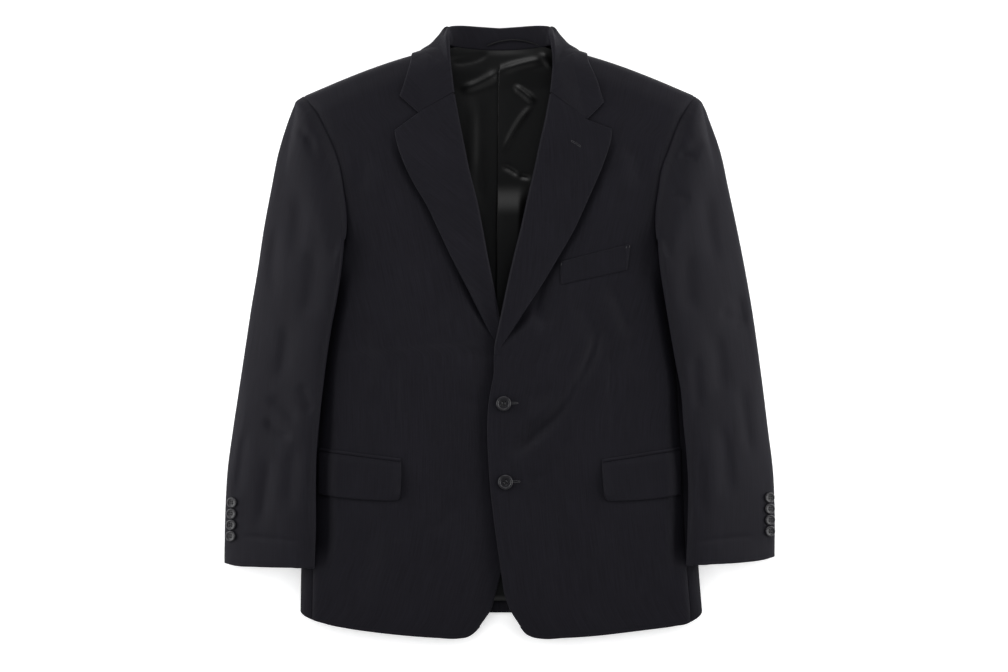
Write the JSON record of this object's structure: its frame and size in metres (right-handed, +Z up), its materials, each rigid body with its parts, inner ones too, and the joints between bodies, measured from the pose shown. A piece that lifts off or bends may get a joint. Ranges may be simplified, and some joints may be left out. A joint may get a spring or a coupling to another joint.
{
  "type": "suit jacket",
  "caption": "Suit jacket with notch lapels, flap pockets and a welted breast pocket, buttoned and laid flat on its back with its sleeves at its sides.",
  "frame": {"origin": "middle of the bounding box's underside, on the surface the jacket lies on", "axes": "+Y from the hem to the collar, +X towards the wearer's left sleeve, +Z up from the back cloth to the front cloth"},
  "size_m": [0.7248, 0.808, 0.0442],
  "materials": {
    "worsted": "fine worsted wool twill, dark charcoal navy, matt",
    "lining": "black satin, soft sheen",
    "buttons": "dark resin, satin"
  },
  "bodies": {
    "root": {"front_left": "worsted", "back_left": "worsted", "side_body_left": "worsted", "sleeve_top_left": "worsted", "sleeve_under_left": "worsted", "lapel_left": "worsted", "pocket_flap_left": "worsted", "pocket_jet_left": "worsted", "button_cuff_left_1": "buttons", "button_cuff_left_2": "buttons", "button_cuff_left_3": "buttons", "button_cuff_left_4": "buttons", "front_right": "worsted", "back_right": "worsted", "side_body_right": "worsted", "sleeve_top_right": "worsted", "sleeve_under_right": "worsted", "lapel_right": "worsted", "pocket_flap_right": "worsted", "pocket_jet_right": "worsted", "button_cuff_right_1": "buttons", "button_cuff_right_2": "buttons", "button_cuff_right_3": "buttons", "button_cuff_right_4": "buttons", "collar": "worsted", "breast_welt": "worsted", "lining_back": "lining", "hanger_loop": "lining", "button_front_1": "buttons", "button_front_2": "buttons"}
  },
  "joints": []
}
